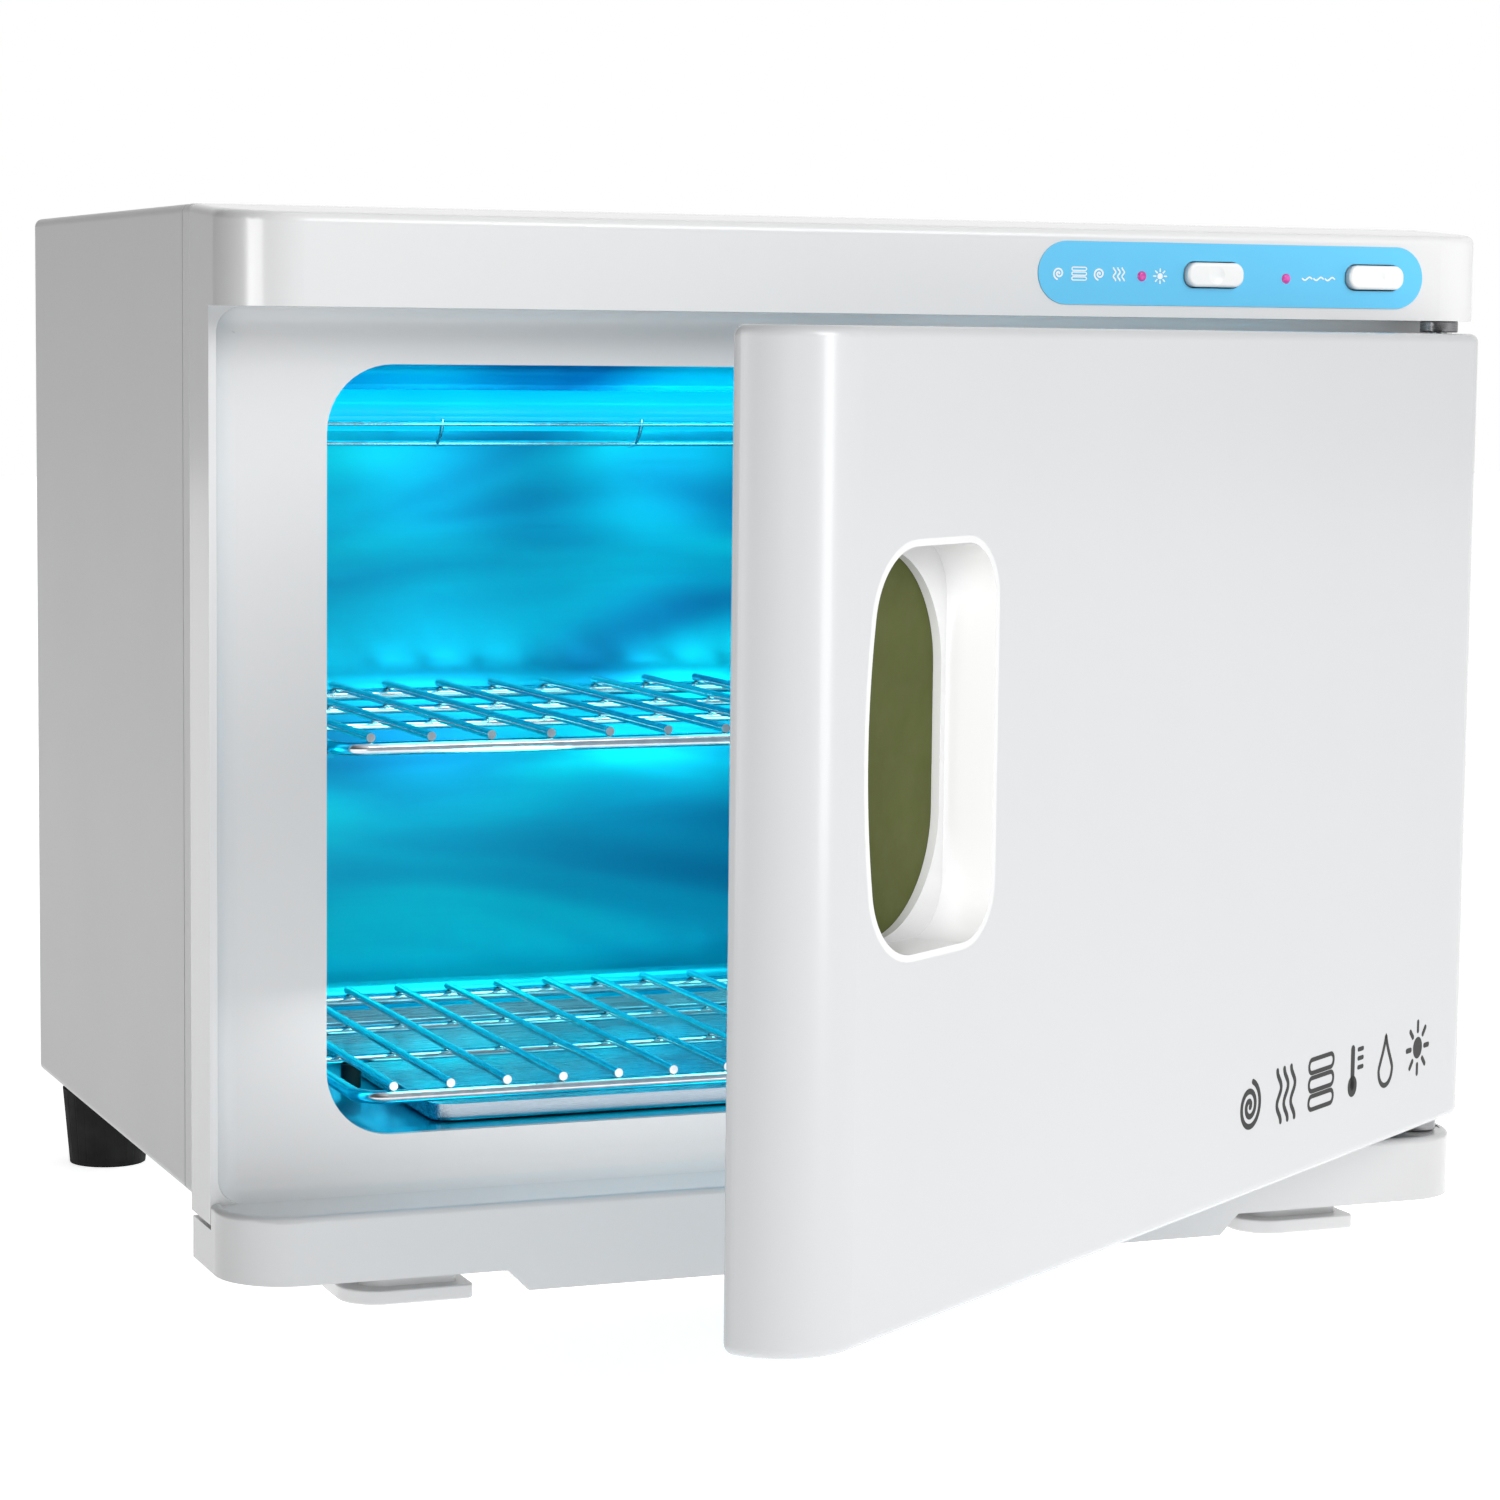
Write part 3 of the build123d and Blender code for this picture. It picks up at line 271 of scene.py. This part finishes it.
WHITE = (0.62, 0.62, 0.623)
FINISHES = {
    "shell_paint": powder_coat(),
    "zinc_sheet": galvanised(),
    "screw_steel": brushed("screw_steel", (0.60, 0.60, 0.62), 0.32, along=(20.0, 1.0, 20.0), scale=90.0),
    "frame_abs": moulded("frame_abs", WHITE, 0.24, spread=0.015, Coat_Weight=0.35, Coat_Roughness=0.12),
    "door_abs": moulded("door_abs", (0.568, 0.577, 0.587), 0.25, spread=0.015, Coat_Weight=0.35,
                        Coat_Roughness=0.14),
    "door_liner_abs": moulded("door_liner_abs", (0.76, 0.77, 0.78), 0.55, grain=0.00005, cell=1400.0),
    "panel_blue": moulded("panel_blue", (0.085, 0.48, 0.76), 0.22, grain=0.00001, Coat_Weight=0.6,
                          Coat_Roughness=0.08),
    "lens_red": lens(),
    "clear_plastic": moulded("clear_plastic", (0.78, 0.78, 0.75), 0.16, grain=0.00001),
    "black_plastic": moulded("black_plastic", (0.018, 0.018, 0.019), 0.5, grain=0.00006, cell=1800.0,
                             spread=0.3, Specular_IOR_Level=0.3),
    "button_white": moulded("button_white", (0.78, 0.785, 0.78), 0.24, grain=0.00001, Coat_Weight=0.4,
                            Coat_Roughness=0.1),
    "liner_steel": painted_glow_liner(),
    "mineral_wool": wool(),
    "aluminium_plate": brushed("aluminium_plate", (0.72, 0.73, 0.74), 0.36),
    "heater_sheath": brushed("heater_sheath", (0.20, 0.18, 0.17), 0.5, streak=0.35),
    "rack_chrome": plated_wire(),
    "tray_steel": brushed("tray_steel", (0.60, 0.66, 0.72), 0.26),
    "lamp_glass": glowing_tube(),
    "brass_pin": brushed("brass_pin", (0.72, 0.56, 0.26), 0.28, scale=120.0),
    "lead_pvc": rubber("lead_pvc", (0.16, 0.07, 0.035), (0.30, 0.15, 0.08), 0.45),
    "foot_rubber": rubber("foot_rubber", (0.005, 0.005, 0.005), (0.010, 0.010, 0.010), 0.75, 0.25),
    "pin_steel": brushed("pin_steel", (0.66, 0.66, 0.67), 0.2, along=(1.0, 1.0, 40.0), scale=120.0),
    "collar_plating": brushed("collar_plating", (0.38, 0.38, 0.39), 0.26, along=(1.0, 1.0, 40.0),
                              scale=120.0),
    "door_foam": rubber("door_foam", (0.70, 0.62, 0.40), (0.86, 0.80, 0.60), 0.85),
    "gasket_rubber": rubber("gasket_rubber", (0.56, 0.56, 0.57), (0.68, 0.68, 0.69), 0.6),
    "magnet_strip": rubber("magnet_strip", (0.04, 0.035, 0.035), (0.08, 0.07, 0.07), 0.65),
    "handle_olive": rubber("handle_olive", (0.071, 0.082, 0.019), (0.084, 0.096, 0.026), 0.8, 0.25),
    "bush_plastic": moulded("bush_plastic", (0.30, 0.30, 0.29), 0.4, spread=0.08),
}


def dress(obj, slot_name):
    obj.data.materials.clear()
    obj.data.materials.append(FINISHES[slot_name].material)


for part in frame["record"]["subparts"]:
    dress(nodes[part["node"]], part["material_slot"])
# The pocket is moulded in the frame's white, and the hinge collars are plated duller than the racks.
dress(nodes["handle_cup"], "frame_abs")
dress(nodes["hinge_spacers"], "collar_plating")


# ---- printed marks ------------------------------------------------------------------------
class Print:
    """Flat marks drawn in millimetres on a face of the cabinet, as a thin film of ink."""

    INK = 0.00006       # metres

    def __init__(self):
        self.mesh = bmesh.new()

    def polygon(self, points):
        """A filled shape."""
        self.mesh.faces.new([self.mesh.verts.new((u, v, 0.0)) for u, v in points])

    def stroke(self, points, width, closed=False):
        """A ribbon of even width along a line, with round ends unless it is closed."""
        line = [Vector((u, v)) for u, v in points]
        count = len(line)
        sides = []
        for i, point in enumerate(line):
            before = line[i - 1] if i or closed else point
            after = line[(i + 1) % count] if i + 1 < count or closed else point
            along = (after - before).normalized()
            offset = Vector((-along.y, along.x)) * width / 2
            sides.append([self.mesh.verts.new((*(point + offset * k), 0.0)) for k in (1, -1)])
        for i in range(count if closed else count - 1):
            a, b = sides[i], sides[(i + 1) % count]
            self.mesh.faces.new((a[0], a[1], b[1], b[0]))
        if not closed:
            self.cap(line[0], line[0] - line[1], width / 2)
            self.cap(line[-1], line[-1] - line[-2], width / 2)

    def cap(self, centre, outward, radius):
        """The round end of a ribbon."""
        start = math.atan2(outward.y, outward.x) - math.pi / 2
        angles = [start + math.pi * i / 8 for i in range(9)]
        self.polygon([(centre.x + radius * math.cos(a), centre.y + radius * math.sin(a)) for a in angles])

    def disc(self, u, v, radius):
        """A filled circle."""
        angles = [math.tau * i / 32 for i in range(32)]
        self.polygon([(u + radius * math.cos(a), v + radius * math.sin(a)) for a in angles])

    def roll(self, u, v, radius, width, turns=2.3):
        """The end of a rolled towel."""
        steps = int(40 * turns)
        points = []
        for i in range(steps + 1):
            angle = math.tau * turns * i / steps
            r = radius * (0.16 + 0.84 * i / steps) - width / 2
            points.append((u + r * math.cos(angle - 0.6), v + r * math.sin(angle - 0.6)))
        self.stroke(points, width)

    def wave(self, u, v, length, height, width, upright=True, bends=1.5):
        """One rising curl of warm air, or a level one."""
        points = []
        steps = 24
        for i in range(steps + 1):
            t = i / steps - 0.5
            sway = height * math.sin(math.tau * bends * t)
            points.append((u + sway, v + t * length) if upright else (u + t * length, v + sway))
        self.stroke(points, width)

    def capsule(self, u, v, long, tall, width):
        """A folded towel seen from its edge."""
        r = tall / 2
        points = []
        for side, start in ((1, -90), (-1, 90)):
            for i in range(13):
                angle = math.radians(start + 15 * i)
                points.append((u + side * (long / 2 - r) + r * math.cos(angle), v + r * math.sin(angle)))
        self.stroke(points, width, closed=True)

    def rays(self, u, v, radius, width):
        """A lamp with its rays."""
        self.disc(u, v, radius * 0.42)
        count = 8
        for i in range(count):
            angle = math.tau * i / count
            c, s = math.cos(angle), math.sin(angle)
            ends = [(u + r * c, v + r * s) for r in (radius * 0.66, radius)]
            self.stroke(ends, width)

    def drop(self, u, v, size, width):
        """A drop of water: a circle whose upper half is drawn up and pinched to a point."""
        points = []
        count = 40
        radius = size * 0.62
        for i in range(count):
            angle = math.tau * i / count
            rise = max(0.0, math.sin(angle))
            pinch = 1.0 - 0.92 * rise ** 1.6
            points.append((u + radius * math.cos(angle) * pinch,
                           v - size * 0.28 + (radius + size * 0.66 * rise) * math.sin(angle)))
        self.stroke(points, width, closed=True)

    def thermometer(self, u, v, tall, width):
        """A thermometer with three marks of its scale."""
        bulb = tall * 0.2
        self.disc(u, v - tall / 2 + bulb, bulb)
        self.stroke([(u, v - tall / 2 + bulb), (u, v + tall / 2 - width)], width * 1.6)
        for i in range(3):
            level = v + tall * (0.02 + 0.17 * i)
            self.stroke([(u + width * 2.4, level), (u + width * 4.2, level)], width * 0.8)

    def place(self, name, corner, right, body, slot_name):
        """Lays the film on a face: corner is the face's u, v origin, right its u direction."""
        up = Vector((0.0, 0.0, 1.0))
        out = right.cross(up)
        turn = Matrix((right / 1000.0, up / 1000.0, out / 1000.0)).transposed().to_4x4()
        bmesh.ops.transform(self.mesh, matrix=Matrix.Translation(corner) @ turn, verts=self.mesh.verts)
        bmesh.ops.recalc_face_normals(self.mesh, faces=self.mesh.faces)
        for face in self.mesh.faces:
            if face.normal.dot(out) < 0:
                face.normal_flip()
        data = bpy.data.meshes.new(name)
        self.mesh.to_mesh(data)
        self.mesh.free()
        obj = bpy.data.objects.new(name, data)
        bpy.context.scene.collection.objects.link(obj)
        film = obj.modifiers.new("film", "SOLIDIFY")
        film.thickness = self.INK
        film.offset = 1.0
        dress(obj, slot_name)
        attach(obj, body)


def door_marks():
    """A row of plain signs low on the door: what the cabinet is for."""
    marks = Print()
    z = 39.0        # mid height of the row
    marks.roll(42.0, z, 9.0, 1.9)
    for i in (-1, 0, 1):
        marks.wave(69.0 + 5.2 * i, z, 17.0, 1.5, 1.9)
    for i in (-1, 0, 1):
        marks.capsule(96.0, z + 6.1 * i, 19.0, 4.4, 1.5)
    marks.thermometer(121.0, z, 18.0, 1.9)
    marks.drop(148.0, z - 1.0, 9.0, 1.8)
    marks.rays(175.0, z, 9.0, 1.8)
    along = (on_door(100.0, 0.0, 0.0) - on_door(0.0, 0.0, 0.0)).normalized()
    marks.place("door_marks", on_door(0.0, 0.0, 0.0), along, "door", "black_plastic")


def panel_marks():
    """White signs on the control strip: towels at the left, rays and warm air beside the lamps."""
    marks = Print()
    z = 303.6       # mid height of the strip
    marks.roll(56.0, z, 2.3, 0.55, 1.8)
    for i in range(3):
        marks.capsule(63.5, z - 1.6 + 1.6 * i, 5.4, 1.05, 0.38)
    marks.roll(71.0, z, 2.3, 0.55, 1.8)
    for i in range(3):
        marks.wave(76.6 + 1.6 * i, z, 4.2, 0.42, 0.5)
    marks.rays(93.6, z - 0.4, 2.4, 0.45)
    for i in range(3):
        marks.wave(149.6 + 4.4 * i, z - 0.4, 3.6, 0.5, 0.5, upright=False, bends=1.0)
    strip_front = spot(0.0, -0.4, 0.0)
    marks.place("panel_marks", strip_front, Vector((1.0, 0.0, 0.0)), "cabinet", "button_white")


door_marks()
panel_marks()


# ---- studio -------------------------------------------------------------------------------
def studio_floor():
    """White paper that lights the underside and shows as plain white."""
    bpy.ops.mesh.primitive_plane_add(size=14.0, location=(0, 0, 0))
    floor = bpy.context.object
    floor.name = "studio_floor"
    f = Finish("studio_floor", Roughness=0.9)
    f.shader.inputs["Specular IOR Level"].default_value = 0.1
    f.colour(f.between(f.noise(2.0, 3.0), 0.88, 0.90))
    f.shader.inputs["Emission Color"].default_value = (1.0, 1.0, 1.0, 1.0)
    f.shader.inputs["Emission Strength"].default_value = 0.76
    floor.data.materials.append(f.material)


def area_light(name, position, target, size, power, only=None, shows="diffuse glossy", colour=(1, 1, 1)):
    """A softbox; it can be kept to a group of nodes, to plain shading or to highlights."""
    data = bpy.data.lights.new(name, "AREA")
    data.shape = "RECTANGLE"
    data.size, data.size_y = size
    data.energy = power
    data.color = colour
    light = bpy.data.objects.new(name, data)
    bpy.context.scene.collection.objects.link(light)
    light.visible_camera = False
    light.visible_diffuse = "diffuse" in shows
    light.visible_glossy = "glossy" in shows
    aim = (Vector(target) - Vector(position)).to_track_quat("-Z", "Y")
    light.matrix_world = Matrix.Translation(position) @ aim.to_matrix().to_4x4()
    if only:
        light.light_linking.receiver_collection = only
    return light


def group(name, *members):
    """A collection that a light can be kept to."""
    collection = bpy.data.collections.new(name)
    for member in members:
        collection.objects.link(nodes.get(member) or bpy.data.objects[member])
    return collection


CHAMBER = group(
    "chamber", "chamber_liner", "shelf_rails", "rail_rivets", "upper_rack_frame", "upper_rack_wires",
    "lower_rack_frame", "lower_rack_wires", "lower_rack_feet", "drip_tray", "uv_lamp_tube",
    "uv_lamp_caps", "lamp_holders", "lamp_guard")
nodes["uv_lamp_tube"].light_linking.receiver_collection = CHAMBER


def glow_light(name, position, power):
    """A blue light that falls on the chamber and what is in it, and not past the mouth."""
    data = bpy.data.lights.new(name, "POINT")
    data.energy = power
    data.shadow_soft_size = 0.03
    data.color = (0.12, 0.95, 1.0)
    light = bpy.data.objects.new(name, data)
    bpy.context.scene.collection.objects.link(light)
    light.location = position
    light.light_linking.receiver_collection = CHAMBER


def ranged(tree, source, reach, levels, curve="LINEAR"):
    """A value carried from one range to another."""
    node = tree.nodes.new("ShaderNodeMapRange")
    node.interpolation_type = curve
    for name, value in zip(("From Min", "From Max", "To Min", "To Max"), (*reach, *levels)):
        node.inputs[name].default_value = value
    tree.links.new(source, node.inputs["Value"])
    return node.outputs["Result"]


def combined(tree, operation, first, second):
    """Two values joined by a math operation."""
    node = tree.nodes.new("ShaderNodeMath")
    node.operation = operation
    tree.links.new(first, node.inputs[0])
    tree.links.new(second, node.inputs[1])
    return node.outputs["Value"]


def white_world():
    """Even white to the eye; as a light, dimmer overhead and in front, and dimmest at the left."""
    world = bpy.data.worlds.new("studio")
    bpy.context.scene.world = world
    world.use_nodes = True
    tree = world.node_tree
    place = tree.nodes.new("ShaderNodeTexCoord").outputs["Generated"]
    split = tree.nodes.new("ShaderNodeSeparateXYZ")
    tree.links.new(place, split.inputs[0])
    sides = tree.nodes.new("ShaderNodeValToRGB")
    sides.color_ramp.interpolation = "EASE"
    stops = sides.color_ramp.elements
    levels = ((0.25, 0.12), (0.575, 1.0), (0.78, 1.0), (1.0, 0.65))     # from the left to the right
    while len(stops) < len(levels):
        stops.new(0.5)
    for stop, (position, level) in zip(stops, levels):
        stop.position = position
        stop.color = (level, level, level, 1.0)
    tree.links.new(ranged(tree, split.outputs["X"], (-1.0, 1.0), (0.0, 1.0)), sides.inputs["Fac"])
    overhead = ranged(tree, split.outputs["Z"], (0.25, 0.95), (1.0, 0.62), "SMOOTHSTEP")
    facing = tree.nodes.new("ShaderNodeVectorMath")
    facing.operation = "DOT_PRODUCT"
    facing.inputs[1].default_value = (-0.17, -0.985, 0.0)
    tree.links.new(place, facing.inputs[0])
    in_front = ranged(tree, facing.outputs["Value"], (0.80, 0.97), (1.0, 0.3), "SMOOTHSTEP")
    level = combined(tree, "MULTIPLY", sides.outputs["Color"], overhead)
    level = combined(tree, "MULTIPLY", level, in_front)
    seen = tree.nodes.new("ShaderNodeLightPath").outputs["Is Camera Ray"]
    back = tree.nodes["Background"]
    back.inputs["Color"].default_value = (1.0, 1.0, 1.0, 1.0)
    tree.links.new(combined(tree, "MAXIMUM", level, seen), back.inputs["Strength"])


def broad_lights(fascia, door):
    """The key and its fills, and tall strips for the highlights on the upright corners."""
    case_top = group("cabinet_top", "outer_shell", "front_frame")
    area_light("top_fill", (0.0, 0.10, 1.60), (0.0, 0.12, 0.3), (0.4, 0.3), 5.0,
               only=case_top, shows="diffuse")
    area_light("key", (0.45, -1.25, 0.95), (0.1, 0.0, 0.2), (0.7, 0.7), 5.6)
    area_light("front_key", (0.40, -1.45, 0.80), (0.0, 0.0, 0.25), (0.5, 0.5), 10.6,
               only=fascia, shows="diffuse")
    area_light("door_fill", (-0.60, -1.40, 0.45), (-0.1, -0.2, 0.2), (0.5, 0.5), 4.4,
               only=door, shows="diffuse")
    area_light("left_strip", (-1.62, -0.78, 0.3), (-0.2, 0.0, 0.2), (0.70, 1.4), 16.0,
               only=fascia, shows="glossy")
    area_light("side_strip", (-1.36, -0.40, 0.3), (-0.1, -0.25, 0.2), (0.30, 1.4), 3.0, shows="glossy")
    area_light("right_strip", (0.55, -1.38, 0.3), (-0.1, -0.25, 0.2), (0.35, 1.4), 7.0,
               only=door, shows="glossy")


def near_fills():
    """Small lights close to the sill, the recess, the gap above the door and the finger pocket."""
    foot = group("cabinet_foot", "front_frame", "front_sill", "front_feet")
    recess = group("recess", "front_frame")
    gap = group("gap", "front_frame", "hinge_spacers")
    pocket = group("pocket", "handle_cup")
    area_light("low_fill", (-0.22, -0.36, 0.02), (-0.05, 0.0, 0.04), (0.2, 0.1), 0.50,
               only=foot, shows="diffuse")
    area_light("recess_fill", spot(-50.0, -85.0, 45.0), spot(-50.0, 30.0, 2.0), (0.2, 0.04), 0.08,
               only=recess, shows="diffuse")
    area_light("well_fill", spot(-60.0, 14.0, 70.0), spot(-60.0, 16.0, 0.0), (0.28, 0.02), 0.035,
               only=foot, shows="diffuse")
    area_light("gap_fill", spot(110.0, 18.0, 287.3), spot(110.0, 38.0, 287.3), (0.19, 0.003), 0.005,
               only=gap, shows="diffuse")
    area_light("pocket_light", (-0.77, -1.19, 0.40), on_door(-130.0, 8.0, 170.0), (0.4, 0.6), 18.0,
               only=pocket)


def chamber_lights():
    """The lamp's glow: a line behind the tube, and two rows of points inside the mouth."""
    liner = group("liner", "chamber_liner")
    area_light("top_glow", spot(0.0, 235.0, 272.0), spot(0.0, 284.0, 268.0), (0.27, 0.008), 0.15,
               only=liner, colour=(0.05, 0.85, 1.0))
    places = [(x, z, power) for z, power in ((225.0, 0.09), (120.0, 0.25)) for x in (-110.0, 0.0, 110.0)]
    for number, (x, z, power) in enumerate(places):
        glow_light(f"chamber_glow_{number}", spot(x, 40.0, z), power)


def camera():
    """A long lens set back to the left, about as high as the door's top, looking slightly down."""
    yaw, pitch, roll = (math.radians(a) for a in (21.568, 5.876, 0.642))
    ahead = Vector((math.sin(yaw) * math.cos(pitch), math.cos(yaw) * math.cos(pitch), -math.sin(pitch)))
    right = Vector((math.cos(yaw), -math.sin(yaw), 0.0))
    up = right.cross(ahead)
    right, up = (right * math.cos(roll) + up * math.sin(roll),
                 up * math.cos(roll) - right * math.sin(roll))
    data = bpy.data.cameras.new("camera")
    data.lens = 97.7        # mm
    data.sensor_width = 36.0
    data.clip_end = 60.0
    eye = bpy.data.objects.new("camera", data)
    bpy.context.scene.collection.objects.link(eye)
    turn = Matrix((right, up, -ahead)).transposed().to_4x4()
    position = (-0.5375, -1.25495, 0.3114)
    eye.matrix_world = Matrix.Translation(position) @ turn
    bpy.context.scene.camera = eye


studio_floor()
white_world()
broad_lights(
    fascia=group("cabinet_front", "front_frame", "control_panel", "panel_marks", "uv_switch_cap",
                 "heat_switch_cap", "indicator_lenses"),
    door=group("door_front", "door_shell", "handle_insert"))
near_fills()
chamber_lights()
camera()
bpy.context.scene.view_settings.view_transform = "Standard"
